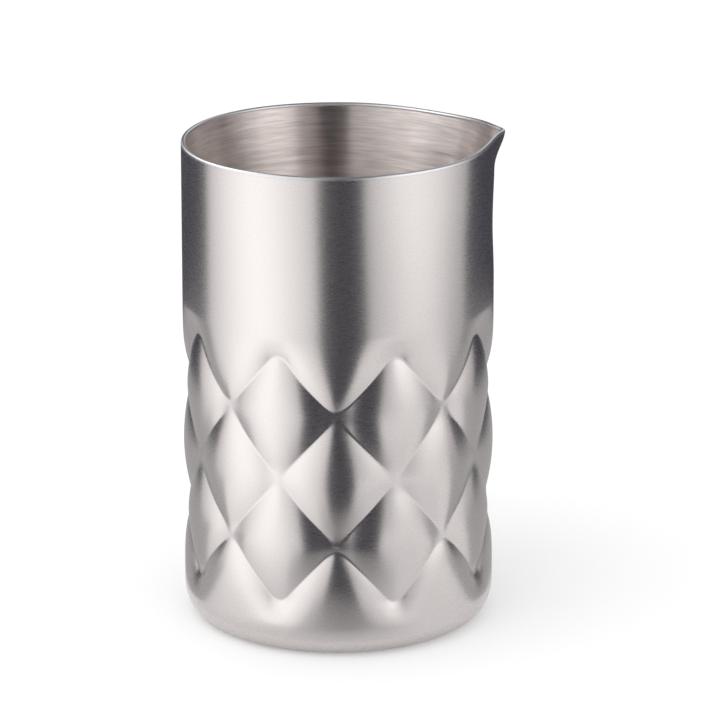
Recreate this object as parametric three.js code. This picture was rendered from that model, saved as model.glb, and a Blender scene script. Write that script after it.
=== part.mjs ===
// A double-walled steel mixing vessel with a pulled pouring lip and a quilted diamond relief.
// Millimetres, +Z up. The origin is the middle of the resting face, and the lip points along +X.
import * as THREE from "three";

const { lerp, smoothstep, degToRad } = THREE.MathUtils;

// Overall sizes
const WALL_RADIUS = 45; // outer face of the plain wall, at the rim
const WALL_DRAFT = 0.5; // how much the wall widens from the rim down to the table
const RIM_HEIGHT = 142.4; // crown of the rim, away from the lip

// Sheets and clearances
const SHELL_SHEET = 0.6;
const LINER_SHEET = 0.5;
const BASE_SHEET = 0.6;
const SEAM_GAP = 0.2; // between two pieces at a welded seam
const AIR_GAP = 0.7; // between the full groove depth and the liner

// Quilted relief, pressed into the outer shell
const DIAMONDS_AROUND = 8;
const DIAMOND_ROWS = 3;
const DIAMOND_HEIGHT = 38.7;
const RELIEF_MIDDLE = 52.5; // height of the middle row's centres
const GROOVE_DEPTH = 3; // where two grooves would cross if they did not level off
const CROSSING_ROUND = 4.5; // from where a groove begins to level off to its crossing
const FACETING = 0.4; // from 0 for diamonds as round domes to 1 for four plain faces
const RIDGE_ROUNDING = 0.05; // of the ridges between a diamond's faces
const WALL_TURN = 1.5; // how suddenly the wall above and below turns into the outer grooves
const TIP_FADE = 5; // from an outer tip out to the plain wall
const TIP_EASE = 4; // from where the fade begins out to the tip
const TIP_ROUND = 3; // round stretch of the wall between two outer tips

// Pouring lip
const LIP_REACH = 3; // tip beyond the plain wall
const LIP_RISE = 2.8; // tip above the rim
const LIP_HALF_WIDTH = 4.6; // along the rim, from the tip to half the reach
const LIP_SWEEP = 17.9; // along the rim, from the tip to half the rise
const LIP_FLARE = 10; // height that bends out
const LIP_CLIMB = 25; // height that is stretched by the rise
const HOLLOW_DEPTH = 0.45; // how far the wall is drawn in below the lip
const HOLLOW_DROP = 24; // from the rim to the middle of that hollow
const HOLLOW_SPREAD = 17; // from there to its upper and lower ends
const EGG_IN = 0.8; // how far the rim is drawn in beside the lip
const EGG_OUT = 0.6; // how far it stands out on the far half
const EGG_START = degToRad(23); // from the tip to where the rim begins to draw in
const EGG_TURN = degToRad(88); // from the tip to where in changes to out
const EGG_HEIGHT = 45; // height over which both fade

// Rounded foot of the shell and the plate that closes it
const CORNER_WIDTH = 6.4;
const CORNER_HEIGHT = 9;
const FOOT_WIDTH = 3; // flat ring inside the rounded corner
const BASE_LAP = 2.4; // plate over the flat ring
const WELD_WIDTH = 1.6; // groove between the flat ring and the plate

// Inner liner
const LINER_FLOOR = 9; // floor of the cavity above the table
const LINER_CORNER = 12; // radius inside the cavity

// Rim bead
const BEAD_SIDE = 0.3; // straight side below its round crown

// Mesh steps
const CELLS = 4; // per half diamond, both ways
const CORNER_STEPS = 5;
const LINER_CORNER_STEPS = 4;
const WALL_STEPS = 4;
const FLARE_STEPS = 4;
const BEAD_STEPS = 4;
const CROWDING = 0.6; // how much closer the columns stand at the lip

// Worked-out sizes
const COLUMNS = DIAMONDS_AROUND * 2 * CELLS;
const HALF_PITCH = Math.PI / DIAMONDS_AROUND;
const HALF_DIAMOND = DIAMOND_HEIGHT / 2;
const HALF_RELIEF = ((DIAMOND_ROWS + 1) / 2) * HALF_DIAMOND;
const RELIEF_BOTTOM = RELIEF_MIDDLE - HALF_RELIEF;
const RELIEF_TOP = RELIEF_MIDDLE + HALF_RELIEF;
const SHOULDER = RELIEF_TOP + TIP_FADE;
const RIM_THICKNESS = SHELL_SHEET + SEAM_GAP + LINER_SHEET;
const CROWN_RADIUS = RIM_THICKNESS / 2;
const BEAD_BOTTOM = RIM_HEIGHT - CROWN_RADIUS - BEAD_SIDE;
const EDGE_HEIGHT = BEAD_BOTTOM - SEAM_GAP;
const FLARE_START = RIM_HEIGHT - LIP_FLARE;
const FLAT_RADIUS = wallRadius(CORNER_HEIGHT) - CORNER_WIDTH;
const FOOT_EDGE = FLAT_RADIUS - FOOT_WIDTH;
const LINER_RADIUS = WALL_RADIUS - GROOVE_DEPTH - SHELL_SHEET - AIR_GAP - LINER_SHEET;
const LINER_RIM_RADIUS = WALL_RADIUS - RIM_THICKNESS;

// Outer face of the wall with no relief and no lip
function wallRadius(z) {
  return WALL_RADIUS + WALL_DRAFT * (1 - z / RIM_HEIGHT);
}

// Falls smoothly from 1 at no distance to 0 at the spread
function swell(distance, spread) {
  const share = Math.min(Math.abs(distance) / spread, 1);
  return (1 + Math.cos(Math.PI * share)) / 2;
}

// Swells between two angles on each side of the lip
function lobe(angle, start, stop) {
  return swell(Math.abs(angle) - (start + stop) / 2, (stop - start) / 2);
}

// Distance to the nearest whole number of one parity
function offParity(value, parity) {
  return Math.abs(value - parity - 2 * Math.round((value - parity) / 2));
}

// Square of a distance, which levels off over a stretch before the distance reaches 1
function roundedSquare(distance, stretch) {
  const round = stretch / (HALF_PITCH * WALL_RADIUS);
  const start = 1 - round;
  if (distance < start) {
    return distance ** 2;
  }
  const past = distance - start;
  return start ** 2 + 2 * start * (past - past ** 2 / (2 * round));
}

// Square of a distance on a diamond, level where the grooves cross
function levelled(distance) {
  return roundedSquare(Math.abs(distance), CROSSING_ROUND);
}

// Share of the groove depth on one diamond, from the squares of the distances to its middle
function pillow(acrossSquare, alongSquare) {
  const corner = Math.sqrt(acrossSquare * alongSquare + RIDGE_ROUNDING ** 2) - RIDGE_ROUNDING;
  return acrossSquare + alongSquare + 2 * FACETING * corner;
}

// Depth below the plain wall: each diamond is a shallow pillow, and the grooves lie where pillows meet
function reliefDepth(angle, z) {
  const column = angle / HALF_PITCH;
  const row = (z - RELIEF_BOTTOM) / HALF_DIAMOND - 1;
  const lastRow = DIAMOND_ROWS - 1;
  const middleRow = Math.floor(lastRow / 2);
  const beyond = Math.max(-row, row - lastRow);
  if (beyond < 0) {
    const left = (column + row - middleRow) / 2;
    const right = (column - row + middleRow) / 2;
    const offLeft = left - Math.round(left);
    const offRight = right - Math.round(right);
    return GROOVE_DEPTH * pillow(levelled(offLeft + offRight), levelled(offLeft - offRight));
  }
  const tipRow = row < 0 ? 0 : lastRow;
  const across = offParity(column, tipRow - middleRow);
  const diamond = pillow(levelled(across), beyond ** 2);
  const fadeStart = 1 - TIP_EASE / HALF_DIAMOND;
  const fadeEnd = 1 + TIP_FADE / HALF_DIAMOND;
  const fade = 1 - smoothstep(beyond, fadeStart, fadeEnd);
  const wall = pillow(roundedSquare(1 - across, TIP_ROUND), Math.max(0, 1 - beyond) ** 2) ** WALL_TURN;
  return GROOVE_DEPTH * Math.min(diamond, wall * fade);
}

// How far the pulled lip moves the wall out and up
function lipShift(angle, z) {
  const fall = RIM_HEIGHT - z;
  const along = Math.abs(angle) * WALL_RADIUS;
  const beak = 1 / (1 + (along / LIP_HALF_WIDTH) ** 2);
  const flare = 1 - smoothstep(fall, 0, LIP_FLARE);
  const sweep = 0.5 ** ((along / LIP_SWEEP) ** 2);
  const hollow = sweep * swell(fall - HOLLOW_DROP, HOLLOW_SPREAD);
  const drawn = EGG_OUT * lobe(angle, EGG_TURN, Math.PI) - EGG_IN * lobe(angle, EGG_START, EGG_TURN);
  const eggFade = 1 - smoothstep(fall, 0, EGG_HEIGHT);
  return {
    out: LIP_REACH * beak * flare - HOLLOW_DEPTH * hollow + drawn * eggFade,
    up: LIP_RISE * sweep * (1 - smoothstep(fall, 0, LIP_CLIMB)),
  };
}

// Moves mesh columns towards the lip on the plain wall, where the surface bends most
function crowded(angle, z) {
  return angle - CROWDING * Math.sin(angle) * smoothstep(z, SHOULDER, FLARE_START);
}

// Evenly spaced values, with both ends
function evenly(from, to, steps) {
  return Array.from({ length: steps + 1 }, (_, i) => lerp(from, to, i / steps));
}

// Heights of the mesh rows on the plain wall above the relief
function plainHeights() {
  const wall = evenly(SHOULDER, FLARE_START, WALL_STEPS);
  const flare = evenly(FLARE_START, EDGE_HEIGHT, FLARE_STEPS);
  return [...wall.slice(0, -1), ...flare];
}

// Heights of the mesh rows on the whole wall of the shell
function wallHeights() {
  const relief = evenly(RELIEF_BOTTOM, RELIEF_TOP, (DIAMOND_ROWS + 1) * CELLS);
  const heights = [RELIEF_BOTTOM - TIP_FADE / 2, ...relief, RELIEF_TOP + TIP_FADE / 2, ...plainHeights()];
  return heights.filter((z) => z > CORNER_HEIGHT);
}

// A turned solid with +Z as its axis
function turn(profile) {
  return new THREE.LatheGeometry(profile, COLUMNS).rotateX(Math.PI / 2);
}

// Pulls the lip, and presses the relief where the piece has one
function form(geometry, hasRelief) {
  const position = geometry.getAttribute("position");
  for (let i = 0; i < position.count; i++) {
    const z = position.getZ(i);
    const radius = Math.hypot(position.getX(i), position.getY(i));
    const angle = crowded(Math.atan2(position.getY(i), position.getX(i)), z);
    const shift = lipShift(angle, z);
    const depth = hasRelief ? reliefDepth(angle, z) : 0;
    const formed = radius + shift.out - depth;
    position.setXYZ(i, formed * Math.cos(angle), formed * Math.sin(angle), z + shift.up);
  }
  geometry.computeVertexNormals();
  return geometry;
}

// Turns the diagonal of each mesh cell so that it lies along the grooves
function followGrooves(geometry, rows) {
  const position = geometry.getAttribute("position");
  const radius = (i) => Math.hypot(position.getX(i), position.getY(i));
  const index = [];
  for (let column = 0; column < COLUMNS; column++) {
    for (let row = 0; row < rows - 1; row++) {
      const a = column * rows + row;
      const b = a + rows;
      const c = b + 1;
      const d = a + 1;
      const alongRise = radius(a) + radius(c) < radius(b) + radius(d);
      index.push(...(alongRise ? [a, b, c, a, c, d] : [a, b, d, c, d, b]));
    }
  }
  geometry.setIndex(index);
  geometry.computeVertexNormals();
  return geometry;
}

// One face of the shell from its foot to its top edge
function shellFace(inset) {
  const foot = new THREE.Vector2(FOOT_EDGE, inset);
  const corner = new THREE.EllipseCurve(
    FLAT_RADIUS, CORNER_HEIGHT, CORNER_WIDTH - inset, CORNER_HEIGHT - inset, -Math.PI / 2, 0,
  );
  const wall = wallHeights().map((z) => new THREE.Vector2(wallRadius(z) - inset, z));
  return [foot, ...corner.getPoints(CORNER_STEPS), ...wall];
}

function outerShell() {
  const outside = shellFace(0);
  const inside = shellFace(SHELL_SHEET).reverse();
  const profile = [...outside, ...inside, outside[0]];
  return followGrooves(form(turn(profile), true), profile.length);
}

// One face of the liner from the middle of its floor to its top edge
function linerFace(offset) {
  const middle = new THREE.Vector2(0, LINER_FLOOR - offset);
  const bend = LINER_CORNER + offset;
  const corner = new THREE.EllipseCurve(
    LINER_RADIUS - LINER_CORNER, LINER_FLOOR + LINER_CORNER, bend, bend, -Math.PI / 2, 0,
  );
  const taper = plainHeights().map((z) => {
    const share = (z - SHOULDER) / (EDGE_HEIGHT - SHOULDER);
    return new THREE.Vector2(lerp(LINER_RADIUS, LINER_RIM_RADIUS, share) + offset, z);
  });
  return [middle, ...corner.getPoints(LINER_CORNER_STEPS), ...taper];
}

function innerLiner() {
  const profile = [...linerFace(LINER_SHEET), ...linerFace(0).reverse()];
  return form(turn(profile), false);
}

// The weld that joins shell and liner, ground round
function rimWeld() {
  const outside = new THREE.Vector2(WALL_RADIUS, BEAD_BOTTOM);
  const inside = new THREE.Vector2(LINER_RIM_RADIUS, BEAD_BOTTOM);
  const crown = new THREE.EllipseCurve(
    WALL_RADIUS - CROWN_RADIUS, RIM_HEIGHT - CROWN_RADIUS, CROWN_RADIUS, CROWN_RADIUS, 0, Math.PI,
  );
  const profile = [outside, ...crown.getPoints(BEAD_STEPS), inside, outside];
  return form(turn(profile), false);
}

// The plate lies flush with the foot, and its raised edge laps over the shell's flat ring
function basePlate() {
  const lift = SHELL_SHEET + SEAM_GAP;
  const flat = FOOT_EDGE - WELD_WIDTH;
  const edge = FOOT_EDGE + BASE_LAP;
  const slant = BASE_SHEET * Math.tan(Math.PI / 8);
  const profile = [
    new THREE.Vector2(0, 0),
    new THREE.Vector2(flat, 0),
    new THREE.Vector2(flat + lift, lift),
    new THREE.Vector2(edge, lift),
    new THREE.Vector2(edge, lift + BASE_SHEET),
    new THREE.Vector2(flat + lift - slant, lift + BASE_SHEET),
    new THREE.Vector2(flat - slant, BASE_SHEET),
    new THREE.Vector2(0, BASE_SHEET),
  ];
  return turn(profile);
}

// The weld in the groove between the shell's flat ring and the plate's raised edge
function baseWeld() {
  const low = SEAM_GAP / 2;
  const high = SHELL_SHEET;
  const slantSide = FOOT_EDGE - WELD_WIDTH + SEAM_GAP * Math.SQRT2;
  const profile = [
    new THREE.Vector2(slantSide + low, low),
    new THREE.Vector2(FOOT_EDGE - SEAM_GAP, low),
    new THREE.Vector2(FOOT_EDGE - SEAM_GAP, high),
    new THREE.Vector2(slantSide + high, high),
    new THREE.Vector2(slantSide + low, low),
  ];
  return turn(profile);
}

// Materials
const brushedSteel = new THREE.MeshStandardMaterial({ color: 0xb9b2ac, roughness: 0.36, metalness: 1 });
const linerSteel = new THREE.MeshStandardMaterial({ color: 0xb4ada6, roughness: 0.42, metalness: 1 });
const polishedSteel = new THREE.MeshStandardMaterial({ color: 0xcfcac5, roughness: 0.2, metalness: 1 });
const plateSteel = new THREE.MeshStandardMaterial({ color: 0xaaa49e, roughness: 0.45, metalness: 1 });
const weldSteel = new THREE.MeshStandardMaterial({ color: 0x99938d, roughness: 0.55, metalness: 1 });

function piece(name, geometry, material) {
  const mesh = new THREE.Mesh(geometry, material);
  mesh.name = name;
  return mesh;
}

const vessel = new THREE.Group();
vessel.add(
  piece("outer_shell", outerShell(), brushedSteel),
  piece("inner_liner", innerLiner(), linerSteel),
  piece("rim_weld", rimWeld(), polishedSteel),
  piece("base_plate", basePlate(), plateSteel),
  piece("base_weld", baseWeld(), weldSteel),
);

export default vessel;
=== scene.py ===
# Looks of a double-walled steel mixing vessel: fine sheets, brushed finishes, studio light and camera
import math

import bmesh
import bpy
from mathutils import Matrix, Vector


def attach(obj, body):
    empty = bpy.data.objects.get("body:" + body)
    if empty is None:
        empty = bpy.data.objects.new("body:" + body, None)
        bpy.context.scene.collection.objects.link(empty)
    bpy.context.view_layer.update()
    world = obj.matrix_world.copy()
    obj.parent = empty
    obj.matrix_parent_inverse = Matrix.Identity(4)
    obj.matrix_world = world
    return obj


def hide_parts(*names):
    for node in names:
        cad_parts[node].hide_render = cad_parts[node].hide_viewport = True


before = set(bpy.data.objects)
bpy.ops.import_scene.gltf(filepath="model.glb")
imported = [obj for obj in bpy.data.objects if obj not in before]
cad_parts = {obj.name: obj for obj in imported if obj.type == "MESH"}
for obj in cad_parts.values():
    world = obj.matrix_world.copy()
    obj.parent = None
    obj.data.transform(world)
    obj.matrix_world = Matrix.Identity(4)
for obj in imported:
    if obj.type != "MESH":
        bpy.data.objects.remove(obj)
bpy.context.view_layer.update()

MM = 0.001  # the sizes below are in millimetres

# Overall sizes, the same as the solids
WALL_RADIUS = 45.0  # outer face of the plain wall, at the rim
WALL_DRAFT = 0.5  # how much the wall widens from the rim down to the table
RIM_HEIGHT = 142.4  # crown of the rim, away from the lip

# Sheets
SHELL_SHEET = 0.6
LINER_SHEET = 0.5
BASE_SHEET = 0.6
SEAM = 0.2  # between the sheets where they are welded
AIR_GAP = 0.7  # between the full groove depth and the liner
GROUND_GAP = 0.02  # what grinding leaves of a seam to be seen

# Quilted relief
DIAMONDS_AROUND = 8
DIAMOND_ROWS = 3
DIAMOND_HEIGHT = 38.7
RELIEF_MIDDLE = 52.5  # height of the middle row's centres
GROOVE_DEPTH = 3.0  # where two grooves would cross if they did not level off
CROSSING_ROUND = 4.5  # from where a groove begins to level off to its crossing
GROOVE_FILLET = 0.08  # share of the depth over which a groove is rounded
FACETING = 0.4  # from 0 for diamonds as round domes to 1 for four plain faces
RIDGE_ROUNDING = 0.05  # of the ridges between a diamond's faces
WALL_TURN = 1.5  # how suddenly the wall above and below turns into the outer grooves
TIP_FADE = 5.0  # from an outer tip out to the plain wall
TIP_EASE = 4.0  # from where the fade begins out to the tip
TIP_ROUND = 3.0  # round stretch of the wall between two outer tips

# Pouring lip
LIP_REACH = 3.0  # tip beyond the plain wall
LIP_RISE = 2.8  # tip above the rim
LIP_HALF_WIDTH = 4.6  # along the rim, from the tip to half the reach
LIP_SWEEP = 17.9  # along the rim, from the tip to half the rise
LIP_FLARE = 10.0  # height that bends out
LIP_CLIMB = 25.0  # height that is stretched by the rise
HOLLOW_DEPTH = 0.45  # how far the wall is drawn in below the lip
HOLLOW_DROP = 24.0  # from the rim to the middle of that hollow
HOLLOW_SPREAD = 17.0  # from there to its upper and lower ends
EGG_IN = 0.8  # how far the rim is drawn in beside the lip
EGG_OUT = 0.6  # how far it stands out on the far half
EGG_START = math.radians(23)  # from the tip to where the rim begins to draw in
EGG_TURN = math.radians(88)  # from the tip to where in changes to out
EGG_HEIGHT = 45.0  # height over which both fade

# Rounded foot of the shell and the plate that closes it
CORNER_WIDTH = 6.4
CORNER_HEIGHT = 9.0
FOOT_WIDTH = 3.0  # flat ring inside the rounded corner
BASE_LAP = 2.4  # plate over the flat ring
WELD_WIDTH = 1.6  # groove between the flat ring and the plate
WELD_SAG = 0.1  # weld above the table side of the sheets
HALF_BEND = math.radians(22.5)  # half of the plate's bend up to its lap

# Inner liner and rim bead
LINER_FLOOR = 9.0  # floor of the cavity above the table
LINER_CORNER = 12.0  # radius inside the cavity
BEAD_SIDE = 0.3  # straight side below the bead's round crown

# Mesh steps
CELLS = 20  # per half diamond, both ways
HIDDEN_CELLS = 5  # the same on the hidden side of a sheet, upwards
CORNER_STEPS = 16
FLOOR_STEPS = 6
BEAD_STEPS = 12
GROOVE_CROWDING = 0.75  # how much closer the cells stand at the grooves
LIP_CROWDING = 0.6  # how much closer the columns stand at the lip
SHARP_EDGE = math.radians(40)

# Camera, as the photograph was taken
CAMERA_AZIMUTH = math.radians(0.457)  # from the vessel's own front, towards the lip
CAMERA_ELEVATION = math.radians(17.3)
CAMERA_DISTANCE = 1111.9
CAMERA_SIDE = 6.37  # middle of the picture from the axis, towards the lip
CAMERA_HEIGHT = 75.8  # middle of the picture above the table
CAMERA_LENS = 190.46
SENSOR_WIDTH = 36.0

# Steel finishes
BLUR_UPWARDS = 0.25  # of a turn, so that the brushing round the axis blurs reflections up and down
MARK_DETAIL = 3.0
GRAIN_DETAIL = 2.0
NOISE_LOW = 0.3  # most of a noise lies between these two
NOISE_HIGH = 0.7

# Studio
FLOOR_RADIUS = 6000.0
FLOOR_SIDES = 96
FLOOR_COLOUR = 0.85
FLOOR_GLOW = 0.22  # part of the floor's white that no shadow takes
WORLD_LIGHT = 0.92  # what lights the floor
CARD_STEPS = 24
CARD_BLACK = (0.046, 0.046, 0.066, 1)
CARD_ROUGHNESS = 0.9
PAINTED_FLOOR_LIFT = 0.1  # painted floor shade and light lie this far above the floor

# Worked-out sizes
COLUMNS = DIAMONDS_AROUND * 2 * CELLS
HALF_PITCH = math.pi / DIAMONDS_AROUND
HALF_DIAMOND = DIAMOND_HEIGHT / 2
HALF_RELIEF = (DIAMOND_ROWS + 1) / 2 * HALF_DIAMOND
RELIEF_BOTTOM = RELIEF_MIDDLE - HALF_RELIEF
RELIEF_TOP = RELIEF_MIDDLE + HALF_RELIEF
LAST_ROW = DIAMOND_ROWS - 1
MIDDLE_ROW = LAST_ROW // 2
SHOULDER = RELIEF_TOP + TIP_FADE
RIM_THICKNESS = SHELL_SHEET + SEAM + LINER_SHEET
CROWN_RADIUS = RIM_THICKNESS / 2
BEAD_BOTTOM = RIM_HEIGHT - CROWN_RADIUS - BEAD_SIDE
EDGE_HEIGHT = BEAD_BOTTOM - GROUND_GAP
FLARE_START = RIM_HEIGHT - LIP_FLARE
FLAT_RADIUS = WALL_RADIUS + WALL_DRAFT * (1 - CORNER_HEIGHT / RIM_HEIGHT) - CORNER_WIDTH
FOOT_EDGE = FLAT_RADIUS - FOOT_WIDTH
LINER_RADIUS = WALL_RADIUS - GROOVE_DEPTH - SHELL_SHEET - AIR_GAP - LINER_SHEET
LINER_RIM_RADIUS = WALL_RADIUS - RIM_THICKNESS


# Small helpers
def lerp(start, stop, share):
    return start + (stop - start) * share


def smoothstep(value, low, high):
    share = min(max((value - low) / (high - low), 0.0), 1.0)
    return share * share * (3 - 2 * share)


def swell(distance, spread):
    """Falls smoothly from 1 at no distance to 0 at the spread."""
    return (1 + math.cos(math.pi * min(abs(distance) / spread, 1.0))) / 2


def lobe(angle, start, stop):
    """Swells between two angles on each side of the lip."""
    return swell(abs(angle) - (start + stop) / 2, (stop - start) / 2)


def off_parity(value, parity):
    """Distance to the nearest whole number of one parity."""
    return abs(value - parity - 2 * round((value - parity) / 2))


def softer_min(a, b, blend):
    """The smaller value, with the change from one to the other rounded."""
    share = max(0.0, 1 - abs(a - b) / blend)
    return min(a, b) - blend * share * share / 4


def evenly(start, stop, steps):
    return [lerp(start, stop, i / steps) for i in range(steps + 1)]


def arc(centre_radius, centre_height, width, height, start, stop, steps):
    """Points of an elliptic arc in the plane of radius and height."""
    return [
        (centre_radius + width * math.cos(turn), centre_height + height * math.sin(turn))
        for turn in evenly(start, stop, steps)
    ]


# The formed wall
def wall_radius(z):
    return WALL_RADIUS + WALL_DRAFT * (1 - z / RIM_HEIGHT)


def rounded_square(distance, stretch):
    """Square of a distance, which levels off over a stretch before the distance reaches 1."""
    rounding = stretch / (HALF_PITCH * WALL_RADIUS)
    start = 1 - rounding
    if distance < start:
        return distance**2
    past = distance - start
    return start**2 + 2 * start * (past - past**2 / (2 * rounding))


def pillow(across_square, along_square):
    """Share of the groove depth on one diamond, from the squares of the distances to its middle."""
    corner = math.sqrt(across_square * along_square + RIDGE_ROUNDING**2) - RIDGE_ROUNDING
    return across_square + along_square + 2 * FACETING * corner


def levelled(distance):
    """Square of a distance on a diamond, level where the grooves cross."""
    return rounded_square(distance, CROSSING_ROUND)


def quilting(left, right):
    """Share of the groove depth between the diamonds, from a place on the lattice."""
    near, far = sorted((abs(left - round(left)), abs(right - round(right))))
    own = pillow(levelled(far + near), levelled(far - near))
    beside = pillow(levelled(1 - far - near), levelled(1 - far + near))
    return softer_min(own, beside, GROOVE_FILLET)


def relief_depth(angle, z):
    """Depth below the plain wall: diamonds are shallow pillows, and grooves lie where they meet."""
    column = angle / HALF_PITCH
    row = (z - RELIEF_BOTTOM) / HALF_DIAMOND - 1
    beyond = max(-row, row - LAST_ROW)
    if beyond < 0:
        left = (column + row - MIDDLE_ROW) / 2
        right = (column - row + MIDDLE_ROW) / 2
        return GROOVE_DEPTH * quilting(left, right)
    tip_row = 0 if row < 0 else LAST_ROW
    across = off_parity(column, tip_row - MIDDLE_ROW)
    diamond = pillow(levelled(across), beyond**2)
    fade = 1 - smoothstep(beyond, 1 - TIP_EASE / HALF_DIAMOND, 1 + TIP_FADE / HALF_DIAMOND)
    wall = pillow(rounded_square(1 - across, TIP_ROUND), max(0.0, 1 - beyond) ** 2) ** WALL_TURN
    return GROOVE_DEPTH * max(0.0, softer_min(diamond, wall * fade, GROOVE_FILLET))


def lip_shift(angle, z):
    """How far the pulled lip moves the wall out and up."""
    fall = RIM_HEIGHT - z
    along = abs(angle) * WALL_RADIUS
    beak = 1 / (1 + (along / LIP_HALF_WIDTH) ** 2)
    flare = 1 - smoothstep(fall, 0, LIP_FLARE)
    sweep = 0.5 ** ((along / LIP_SWEEP) ** 2)
    hollow = sweep * swell(fall - HOLLOW_DROP, HOLLOW_SPREAD)
    drawn = EGG_OUT * lobe(angle, EGG_TURN, math.pi) - EGG_IN * lobe(angle, EGG_START, EGG_TURN)
    egg_fade = 1 - smoothstep(fall, 0, EGG_HEIGHT)
    out = LIP_REACH * beak * flare - HOLLOW_DEPTH * hollow + drawn * egg_fade
    up = LIP_RISE * sweep * (1 - smoothstep(fall, 0, LIP_CLIMB))
    return out, up


# Rings of mesh points
def crowded(place):
    """Moves a place on the lattice towards the nearest groove, halfway between whole numbers."""
    return place + GROOVE_CROWDING * math.sin(2 * math.pi * place) / (2 * math.pi)


def on_lattice(column, z):
    """A mesh point of the quilted wall, moved so that the cells are smallest at the grooves."""
    inside = min(max(z, RELIEF_BOTTOM), RELIEF_TOP)
    row = (inside - RELIEF_BOTTOM) / HALF_DIAMOND - 1
    left = crowded((column + row - MIDDLE_ROW) / 2)
    right = crowded((column - row + MIDDLE_ROW) / 2)
    moved = RELIEF_BOTTOM + (left - right + MIDDLE_ROW + 1) * HALF_DIAMOND
    evened = smoothstep(z, RELIEF_TOP, FLARE_START)
    return lerp(left + right, column, evened), moved + z - inside


def ring(radius, z, quilted):
    """The points round the axis that start from one point of a profile."""
    points = []
    for i in range(COLUMNS):
        column, height = i / CELLS, z
        if quilted:
            column, height = on_lattice(column, z)
        angle = column * HALF_PITCH
        if angle > math.pi:
            angle -= 2 * math.pi
        angle -= LIP_CROWDING * math.sin(angle) * smoothstep(height, SHOULDER, FLARE_START)
        out, up = lip_shift(angle, height)
        depth = relief_depth(angle, height) if quilted else 0.0
        taper = wall_radius(height) - wall_radius(z)
        formed = (radius + taper + out - depth) * MM
        points.append((formed * math.cos(angle), formed * math.sin(angle), (height + up) * MM))
    return points


def quad_faces(a, b, c, d, verts, split):
    """One mesh cell, cut along the groove where the wall is quilted."""
    if not split:
        return [(a, b, c, d)]
    reach = [math.hypot(verts[i][0], verts[i][1]) for i in (a, b, c, d)]
    if reach[0] + reach[2] < reach[1] + reach[3]:
        return [(a, b, c), (a, c, d)]
    return [(a, b, d), (b, c, d)]


def turned(name, profile, quilted=False):
    """A closed piece: its profile goes round the axis, and ends on the axis or closes on itself."""
    verts, faces, starts = [], [], []
    for radius, z in profile:
        starts.append(len(verts))
        verts.extend([(0.0, 0.0, z * MM)] if radius == 0 else ring(radius, z, quilted))
    closed = profile[0][0] > 0
    pairs = list(zip(range(len(profile)), range(1, len(profile))))
    if closed:
        pairs.append((len(profile) - 1, 0))
    for low, high in pairs:
        split = quilted and max(profile[low][1], profile[high][1]) > CORNER_HEIGHT
        for i in range(COLUMNS):
            j = (i + 1) % COLUMNS
            if profile[low][0] == 0:
                faces.append((starts[low], starts[high] + j, starts[high] + i))
            elif profile[high][0] == 0:
                faces.append((starts[low] + i, starts[low] + j, starts[high]))
            else:
                corners = (starts[low] + i, starts[low] + j, starts[high] + j, starts[high] + i)
                faces.extend(quad_faces(*corners, verts, split))
    mesh = bpy.data.meshes.new(name)
    mesh.from_pydata(verts, [], faces)
    finish_mesh(mesh)
    piece = bpy.data.objects.new(name, mesh)
    bpy.context.collection.objects.link(piece)
    return piece


def finish_mesh(mesh):
    """Turns the faces outwards and shades them smooth between the sharp edges."""
    work = bmesh.new()
    work.from_mesh(mesh)
    bmesh.ops.recalc_face_normals(work, faces=work.faces)
    work.to_mesh(mesh)
    work.free()
    mesh.shade_smooth()
    mesh.set_sharp_from_angle(angle=SHARP_EDGE)


# The pieces
def wall_heights(cells):
    """Heights of the mesh rows on the wall of the shell, from the corner to the top edge."""
    foot = evenly(CORNER_HEIGHT, RELIEF_BOTTOM, max(2, cells // 3))
    relief = evenly(RELIEF_BOTTOM, RELIEF_TOP, (DIAMOND_ROWS + 1) * cells)
    shoulder = evenly(RELIEF_TOP, SHOULDER, max(2, cells // 2))
    plain = evenly(SHOULDER, FLARE_START, cells)
    flare = evenly(FLARE_START, EDGE_HEIGHT, cells)
    return [*foot[1:-1], *relief, *shoulder[1:], *plain[1:], *flare[1:]]


def shell_face(inset, cells):
    width = CORNER_WIDTH - inset
    height = CORNER_HEIGHT - inset
    corner = arc(FLAT_RADIUS, CORNER_HEIGHT, width, height, -math.pi / 2, 0, CORNER_STEPS)
    wall = [(wall_radius(z) - inset, z) for z in wall_heights(cells)]
    return [(FOOT_EDGE, inset), *corner, *wall]


def make_shell():
    outside = shell_face(0.0, CELLS)
    inside = shell_face(SHELL_SHEET, HIDDEN_CELLS)
    return turned("shell_sheet", [*outside, *reversed(inside)], quilted=True)


def liner_face(offset, cells):
    floor_edge = LINER_RADIUS - LINER_CORNER
    floor = [(share * floor_edge, LINER_FLOOR - offset) for share in evenly(0, 1, FLOOR_STEPS)]
    bend = LINER_CORNER + offset
    corner = arc(floor_edge, LINER_FLOOR + LINER_CORNER, bend, bend, -math.pi / 2, 0, CORNER_STEPS)
    straight = evenly(LINER_FLOOR + LINER_CORNER, SHOULDER, cells)
    wall = [(LINER_RADIUS + offset, z) for z in straight[1:]]
    heights = [*evenly(SHOULDER, FLARE_START, cells), *evenly(FLARE_START, EDGE_HEIGHT, cells)[1:]]
    for z in heights[1:]:
        share = (z - SHOULDER) / (EDGE_HEIGHT - SHOULDER)
        wall.append((lerp(LINER_RADIUS, LINER_RIM_RADIUS, share) + offset, z))
    return [*floor, *corner[1:], *wall]


def make_liner():
    inside = liner_face(0.0, CELLS)
    outside = liner_face(LINER_SHEET, HIDDEN_CELLS)
    return turned("liner_cup", [*outside, *reversed(inside)])


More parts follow.
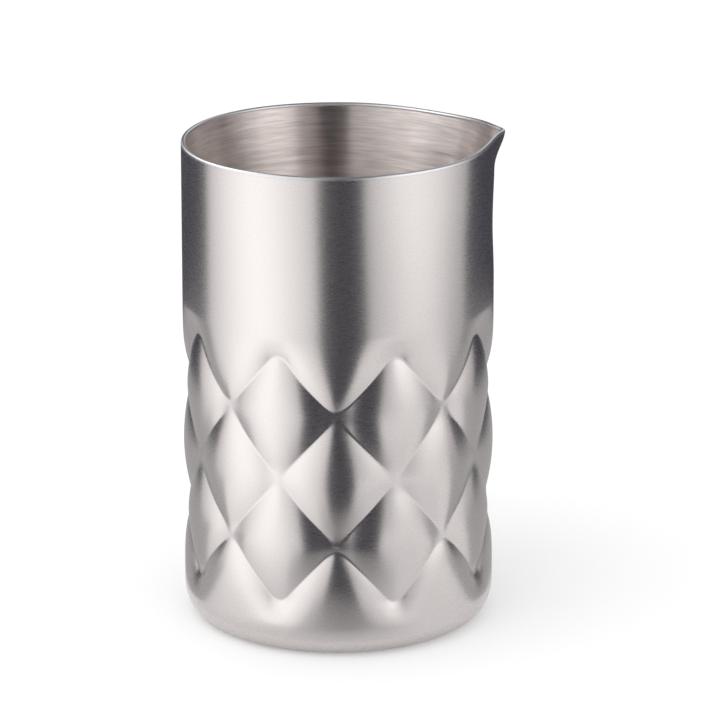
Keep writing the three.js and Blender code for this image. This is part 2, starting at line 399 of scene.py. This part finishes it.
def make_rim():
    centre_radius = WALL_RADIUS - CROWN_RADIUS
    centre_height = RIM_HEIGHT - CROWN_RADIUS
    crown = arc(centre_radius, centre_height, CROWN_RADIUS, CROWN_RADIUS, 0, math.pi, BEAD_STEPS)
    return turned("rim_bead", [(WALL_RADIUS, BEAD_BOTTOM), *crown, (LINER_RIM_RADIUS, BEAD_BOTTOM)])


def make_plate():
    lift = SHELL_SHEET + SEAM
    flat = FOOT_EDGE - WELD_WIDTH
    edge = FOOT_EDGE + BASE_LAP
    slant = BASE_SHEET * math.tan(HALF_BEND)
    profile = [
        *[(radius, 0.0) for radius in evenly(0, flat, FLOOR_STEPS)],
        (flat + lift, lift),
        (edge, lift),
        (edge, lift + BASE_SHEET),
        (flat + lift - slant, lift + BASE_SHEET),
        *[(radius, BASE_SHEET) for radius in evenly(flat - slant, 0, FLOOR_STEPS)],
    ]
    return turned("foot_plate", profile)


def make_weld():
    start = FOOT_EDGE - WELD_WIDTH + GROUND_GAP
    stop = FOOT_EDGE - GROUND_GAP
    middle = (start + stop) / 2
    width = (stop - start) / 2
    height = SHELL_SHEET / 2 - WELD_SAG
    sag = arc(middle, SHELL_SHEET / 2, width, height, math.pi, 2 * math.pi, BEAD_STEPS)
    return turned("foot_weld", [*sag, (stop, SHELL_SHEET), (start + SHELL_SHEET, SHELL_SHEET)])


# Steel finishes
def node(tree, kind, **values):
    made = tree.nodes.new(kind)
    for key, value in values.items():
        setattr(made, key, value)
    return made


def streaks(tree, along, across, detail):
    """Noise drawn out round the axis, with a length along the brushing and one across it."""
    place = node(tree, "ShaderNodeTexCoord")
    stretch = node(tree, "ShaderNodeMapping")
    stretch.inputs["Scale"].default_value = (1 / (along * MM), 1 / (along * MM), 1 / (across * MM))
    noise = node(tree, "ShaderNodeTexNoise")
    noise.inputs["Scale"].default_value = 1.0
    noise.inputs["Detail"].default_value = detail
    tree.links.new(place.outputs["Object"], stretch.inputs["Vector"])
    tree.links.new(stretch.outputs["Vector"], noise.inputs["Vector"])
    return noise.outputs["Fac"]


def spread(tree, value, low, high):
    """Maps the middle of a noise onto a range."""
    mapped = node(tree, "ShaderNodeMapRange")
    mapped.inputs["From Min"].default_value = NOISE_LOW
    mapped.inputs["From Max"].default_value = NOISE_HIGH
    mapped.inputs["To Min"].default_value = low
    mapped.inputs["To Max"].default_value = high
    tree.links.new(value, mapped.inputs["Value"])
    return mapped.outputs["Result"]


def brushed_steel(name, colour, roughness, anisotropy, marks, grain, tone, depth):
    """Steel with long marks and a fine grain, both running round the axis."""
    material = bpy.data.materials.new(name)
    material.use_nodes = True
    tree = material.node_tree
    shader = tree.nodes["Principled BSDF"]
    shader.inputs["Metallic"].default_value = 1.0
    shader.inputs["Anisotropic"].default_value = anisotropy
    shader.inputs["Anisotropic Rotation"].default_value = BLUR_UPWARDS
    round_axis = node(tree, "ShaderNodeTangent", direction_type="RADIAL", axis="Z")
    tree.links.new(round_axis.outputs["Tangent"], shader.inputs["Tangent"])
    long_marks = streaks(tree, *marks, detail=MARK_DETAIL)
    fine_grain = streaks(tree, *grain, detail=GRAIN_DETAIL)
    both = node(tree, "ShaderNodeMath", operation="ADD")
    tree.links.new(long_marks, both.inputs[0])
    tree.links.new(fine_grain, both.inputs[1])
    half = node(tree, "ShaderNodeMath", operation="MULTIPLY")
    half.inputs[1].default_value = 0.5
    tree.links.new(both.outputs["Value"], half.inputs[0])
    brushing = half.outputs["Value"]
    colours = node(tree, "ShaderNodeMix", data_type="RGBA")
    colours.inputs["A"].default_value = (*[c * (1 - tone) for c in colour], 1)
    colours.inputs["B"].default_value = (*[c * (1 + tone) for c in colour], 1)
    tree.links.new(spread(tree, brushing, 0, 1), colours.inputs["Factor"])
    tree.links.new(colours.outputs["Result"], shader.inputs["Base Color"])
    tree.links.new(spread(tree, long_marks, *roughness), shader.inputs["Roughness"])
    bump = node(tree, "ShaderNodeBump")
    bump.inputs["Strength"].default_value = 1.0
    bump.inputs["Distance"].default_value = depth * MM
    tree.links.new(brushing, bump.inputs["Height"])
    tree.links.new(bump.outputs["Normal"], shader.inputs["Normal"])
    return material


# Floor, cards, lamps and world
def seen_or_mirrored(tree):
    """One for rays from the camera and for what metal and glass show, and nought for other rays."""
    path = node(tree, "ShaderNodeLightPath")
    total = path.outputs["Is Camera Ray"]
    for name in ("Is Glossy Ray", "Is Transmission Ray"):
        larger = node(tree, "ShaderNodeMath", operation="MAXIMUM")
        tree.links.new(total, larger.inputs[0])
        tree.links.new(path.outputs[name], larger.inputs[1])
        total = larger.outputs["Value"]
    return total


def make_floor():
    mesh = bpy.data.meshes.new("floor")
    work = bmesh.new()
    bmesh.ops.create_circle(work, cap_ends=True, segments=FLOOR_SIDES, radius=FLOOR_RADIUS * MM)
    work.to_mesh(mesh)
    work.free()
    floor = bpy.data.objects.new("floor", mesh)
    floor.location.z = -GROUND_GAP * MM
    bpy.context.collection.objects.link(floor)
    material = bpy.data.materials.new("floor_white")
    material.use_nodes = True
    tree = material.node_tree
    tree.nodes.clear()
    output = node(tree, "ShaderNodeOutputMaterial")
    matt = node(tree, "ShaderNodeBsdfDiffuse")
    matt.inputs["Color"].default_value = (FLOOR_COLOUR, FLOOR_COLOUR, FLOOR_COLOUR, 1)
    glow = node(tree, "ShaderNodeEmission")
    strength = node(tree, "ShaderNodeMath", operation="MULTIPLY")
    strength.inputs[1].default_value = FLOOR_GLOW
    tree.links.new(seen_or_mirrored(tree), strength.inputs[0])
    tree.links.new(strength.outputs["Value"], glow.inputs["Strength"])
    both = node(tree, "ShaderNodeAddShader")
    tree.links.new(matt.outputs["BSDF"], both.inputs[0])
    tree.links.new(glow.outputs["Emission"], both.inputs[1])
    tree.links.new(both.outputs["Shader"], output.inputs["Surface"])
    mesh.materials.append(material)


def make_card(name, start, stop, near, far, material):
    """A curved card round the vessel that shows only in its reflections.

    Its angles are from the camera, and its near and far edges each have a distance and a height.
    """
    verts, faces = [], []
    for turn in evenly(math.radians(start), math.radians(stop), CARD_STEPS):
        angle = turn + CAMERA_AZIMUTH
        for distance, height in (near, far):
            place = Vector((distance * math.sin(angle), -distance * math.cos(angle), height))
            verts.append(place * MM)
    for i in range(CARD_STEPS):
        faces.append((2 * i, 2 * i + 2, 2 * i + 3, 2 * i + 1))
    mesh = bpy.data.meshes.new(name)
    mesh.from_pydata(verts, [], faces)
    mesh.materials.append(material)
    card = bpy.data.objects.new(name, mesh)
    bpy.context.collection.objects.link(card)
    card.visible_camera = False
    card.visible_diffuse = False
    card.visible_shadow = False


def upright_card(name, start, stop, distance, bottom, top, material):
    make_card(name, start, stop, (distance, bottom), (distance, top), material)


# A flat patch just above the floor that shows only in reflections: painted shade or a painted pool of
# light on the floor
def painted_floor_patch(name, start, stop, near, far, material):
    make_card(name, start, stop, (near, PAINTED_FLOOR_LIFT), (far, PAINTED_FLOOR_LIFT), material)


def dark_card_material():
    material = bpy.data.materials.new("card_black")
    material.use_nodes = True
    shader = material.node_tree.nodes["Principled BSDF"]
    shader.inputs["Base Color"].default_value = CARD_BLACK
    shader.inputs["Roughness"].default_value = CARD_ROUGHNESS
    return material


def grey_material(name, level):
    """A card that glows at one even level and is lit by nothing: a bright glowing panel, a dim dark card,
    or painted floor shade that shows only in reflections.
    """
    material = bpy.data.materials.new(name)
    material.use_nodes = True
    tree = material.node_tree
    tree.nodes.clear()
    output = node(tree, "ShaderNodeOutputMaterial")
    glow = node(tree, "ShaderNodeEmission")
    glow.inputs["Strength"].default_value = level
    tree.links.new(glow.outputs["Emission"], output.inputs["Surface"])
    return material


def glow_material(name, angle, distance, height, reach, squash, middle, edge):
    """A card that changes from one level at its middle to another at its reach, slower upwards."""
    material = bpy.data.materials.new(name)
    material.use_nodes = True
    tree = material.node_tree
    tree.nodes.clear()
    output = node(tree, "ShaderNodeOutputMaterial")
    glow = node(tree, "ShaderNodeEmission")
    place = node(tree, "ShaderNodeTexCoord")
    turn = math.radians(angle) + CAMERA_AZIMUTH
    centre = Vector((distance * math.sin(turn), -distance * math.cos(turn), height * squash)) * MM
    lowered = node(tree, "ShaderNodeVectorMath", operation="MULTIPLY")
    lowered.inputs[1].default_value = (1, 1, squash)
    tree.links.new(place.outputs["Object"], lowered.inputs[0])
    apart = node(tree, "ShaderNodeVectorMath", operation="DISTANCE")
    apart.inputs[1].default_value = centre
    tree.links.new(lowered.outputs["Vector"], apart.inputs[0])
    fall = node(tree, "ShaderNodeMapRange", interpolation_type="SMOOTHSTEP")
    fall.inputs["From Min"].default_value = 0.0
    fall.inputs["From Max"].default_value = reach * MM
    fall.inputs["To Min"].default_value = middle
    fall.inputs["To Max"].default_value = edge
    tree.links.new(apart.outputs["Value"], fall.inputs["Value"])
    tree.links.new(fall.outputs["Result"], glow.inputs["Strength"])
    tree.links.new(glow.outputs["Emission"], output.inputs["Surface"])
    return material


def make_world():
    world = bpy.data.worlds.new("studio")
    world.use_nodes = True
    tree = world.node_tree
    background = tree.nodes["Background"]
    background.inputs["Color"].default_value = (1, 1, 1, 1)
    level = node(tree, "ShaderNodeMapRange")
    level.inputs["To Min"].default_value = WORLD_LIGHT
    level.inputs["To Max"].default_value = 1.0
    tree.links.new(seen_or_mirrored(tree), level.inputs["Value"])
    tree.links.new(level.outputs["Result"], background.inputs["Strength"])
    bpy.context.scene.world = world


def make_lamp(name, place, size, power):
    data = bpy.data.lights.new(name, "AREA")
    data.shape = "DISK"
    data.size = size * MM
    data.energy = power
    lamp = bpy.data.objects.new(name, data)
    lamp.location = Vector(place) * MM
    aim = Vector((0, 0, RIM_HEIGHT / 2 * MM)) - lamp.location
    lamp.rotation_euler = aim.to_track_quat("-Z", "Y").to_euler()
    lamp.visible_camera = False
    bpy.context.collection.objects.link(lamp)


def make_camera():
    back = Vector((
        math.sin(CAMERA_AZIMUTH) * math.cos(CAMERA_ELEVATION),
        -math.cos(CAMERA_AZIMUTH) * math.cos(CAMERA_ELEVATION),
        math.sin(CAMERA_ELEVATION),
    ))
    side = Vector((math.cos(CAMERA_AZIMUTH), math.sin(CAMERA_AZIMUTH), 0.0))
    target = side * CAMERA_SIDE + Vector((0, 0, CAMERA_HEIGHT))
    data = bpy.data.cameras.new("camera")
    data.sensor_width = SENSOR_WIDTH
    data.lens = CAMERA_LENS
    camera = bpy.data.objects.new("camera", data)
    camera.location = (target + back * CAMERA_DISTANCE) * MM
    camera.rotation_euler = back.to_track_quat("Z", "Y").to_euler()
    bpy.context.collection.objects.link(camera)
    bpy.context.scene.camera = camera


# The object
shell_steel = brushed_steel(
    "shell_steel",
    colour=(0.603, 0.566, 0.56),
    roughness=(0.26, 0.3),
    anisotropy=0.3,
    marks=(3.0, 0.25),
    grain=(0.5, 0.25),
    tone=0.01,
    depth=0.0007,
)
liner_steel = brushed_steel(
    "liner_steel",
    colour=(0.79, 0.73, 0.705),
    roughness=(0.29, 0.33),
    anisotropy=1.0,
    marks=(26.0, 1.6),
    grain=(8.0, 0.5),
    tone=0.25,
    depth=0.035,
)
rim_steel = brushed_steel(
    "rim_steel",
    colour=(0.62, 0.61, 0.625),
    roughness=(0.34, 0.4),
    anisotropy=0.0,
    marks=(6.0, 0.3),
    grain=(1.0, 0.3),
    tone=0.03,
    depth=0.0007,
)
plate_steel = brushed_steel(
    "plate_steel",
    colour=(0.5, 0.48, 0.46),
    roughness=(0.3, 0.42),
    anisotropy=0.5,
    marks=(3.0, 3.0),
    grain=(0.8, 0.8),
    tone=0.06,
    depth=0.004,
)
weld_steel = brushed_steel(
    "weld_steel",
    colour=(0.42, 0.4, 0.38),
    roughness=(0.4, 0.55),
    anisotropy=0.0,
    marks=(1.5, 0.8),
    grain=(0.5, 0.5),
    tone=0.12,
    depth=0.02,
)
PIECES = (
    (make_shell, "outer_shell", "brushed_shell", shell_steel),
    (make_liner, "inner_liner", "spun_liner", liner_steel),
    (make_rim, "rim_weld", "polished_rim", rim_steel),
    (make_plate, "base_plate", "base_steel", plate_steel),
    (make_weld, "base_weld", "weld_steel", weld_steel),
)
for make, cad_node, slot, material in PIECES:
    piece = make()
    piece.data.materials.append(material)
    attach(piece, "root")
    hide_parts(cad_node)

# The studio
make_floor()
black = dark_card_material()
upright_card("card_front", start=-10.4, stop=17.2, distance=105, bottom=0, top=175, material=black)
upright_card("card_front_high", start=-14, stop=36, distance=105, bottom=175, top=420, material=black)
upright_card("card_rear_left", start=-168, stop=-99, distance=320, bottom=0, top=170, material=black)
upright_card("card_rear_right", start=99, stop=138, distance=320, bottom=0, top=600, material=black)
upright_card("card_rear_low", start=138, stop=177, distance=320, bottom=0, top=190, material=black)
upright_card("card_rear_high", start=-183, stop=-146, distance=320, bottom=170, top=600, material=black)
# Painted shade: evenly glowing grey patches on the table at the sides stand for the floor shaded beside
# and behind the vessel, and show only in reflections
painted_side_shade = grey_material("painted_floor_shade_sides", level=0.52)
painted_floor_patch("painted_shade_left", start=-165, stop=-82, near=60, far=320, material=painted_side_shade)
painted_floor_patch("painted_shade_right", start=82, stop=165, near=60, far=320, material=painted_side_shade)
# Painted shade: a patch in front of the vessel glows darkest at a spot near the dark front card and
# lighter away from it, standing for the floor shaded there, and shows only in reflections
painted_front_shade = glow_material(
    "painted_front_floor_shade", angle=3, distance=90, height=0, reach=62, squash=1.0, middle=0.32, edge=0.95
)
painted_floor_patch("painted_shade_front", start=-22, stop=60, near=48, far=150, material=painted_front_shade)
top_grey = grey_material("card_top_grey", level=0.1)
make_card("card_top", -180, 180, near=(1, 800), far=(650, 800), material=top_grey)
left_glow = glow_material(
    "glow_left", angle=-52, distance=160, height=80, reach=160, squash=0.4, middle=1.65, edge=0.75
)
right_glow = glow_material(
    "glow_right", angle=57, distance=300, height=300, reach=260, squash=0.6, middle=2.2, edge=0.65
)
upright_card("diffuser_left", start=-97, stop=-10.4, distance=160, bottom=0, top=420, material=left_glow)
# Painted light: a patch on the table at front left glows with the left panel's pattern and stands for the
# floor lit by that panel; it shows only in reflections
painted_floor_patch("painted_light_pool_left", start=-82, stop=-22, near=50, far=160, material=left_glow)
upright_card("diffuser_right", start=17.2, stop=97, distance=300, bottom=0, top=700, material=right_glow)
high_glow = grey_material("glow_high", level=2.9)
upright_card("diffuser_high", start=-122, stop=-72, distance=155, bottom=190, top=420, material=high_glow)
rear_glow = grey_material("glow_rear", level=0.9)
upright_card("diffuser_rear", start=-146, stop=-122, distance=155, bottom=190, top=420, material=rear_glow)
make_lamp("lamp_top", place=(-450, -350, 1000), size=900, power=2.0)
make_world()
make_camera()
bpy.context.scene.view_settings.view_transform = "Standard"
